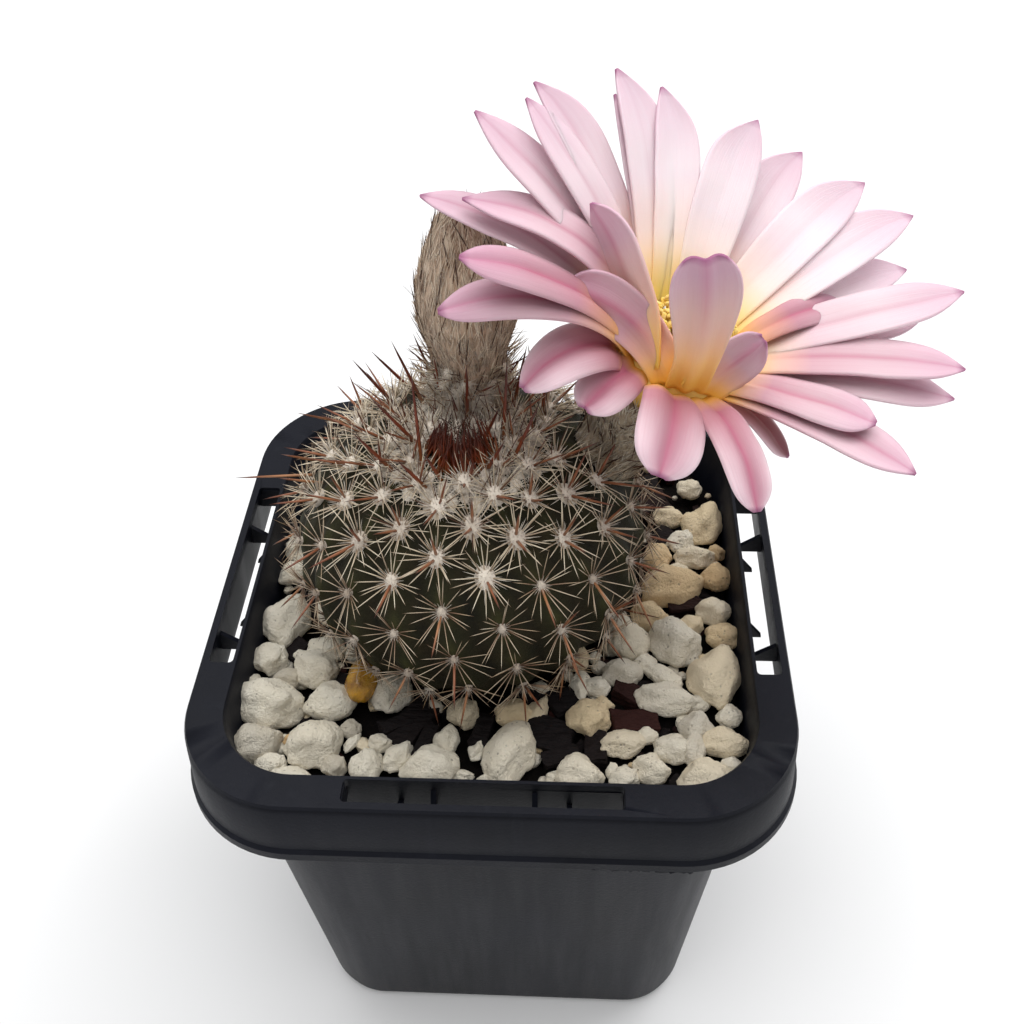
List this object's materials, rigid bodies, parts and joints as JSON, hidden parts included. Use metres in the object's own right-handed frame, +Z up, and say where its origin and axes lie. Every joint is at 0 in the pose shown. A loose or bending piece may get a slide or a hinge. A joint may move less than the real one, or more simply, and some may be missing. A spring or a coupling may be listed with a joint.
{
  "type": "potted round cactus",
  "caption": "Round ribbed cactus with pale wool and brown spines in a square black nursery pot, topped with pumice, with an open pink flower and a woolly bud.",
  "frame": {"origin": "centre of the pot's flat underside, on the surface it stands on", "axes": "+Z up, -Y out of the pot's pictured front, +X to its right. The pot's walls run along X and Y."},
  "size_m": [0.0866, 0.0726, 0.1258],
  "materials": {
    "pot_plastic": "satin moulded plastic, faintly bluish black",
    "potting_soil": "dark crumbly soil with bark",
    "pumice_stone": "rough porous pale stone",
    "prill_coating": "glossy amber coating",
    "cactus_skin": "olive green skin with cream wool and brown spines",
    "bud_wool": "grey-beige wool with dark brown bristles",
    "tube_wool": "beige wool with brown bristles",
    "petal": "silky pink, paler at the edges, yellow at the root",
    "stamen": "powdery yellow",
    "style_flesh": "smooth dark pink"
  },
  "bodies": {
    "root": {"pot": "pot_plastic", "soil": "potting_soil", "pumice": "pumice_stone", "fertiliser_prill": "prill_coating", "cactus": "cactus_skin", "bud": "bud_wool", "flower_tube": "tube_wool", "petals": "petal", "stamens": "stamen", "style": "style_flesh"}
  },
  "joints": []
}
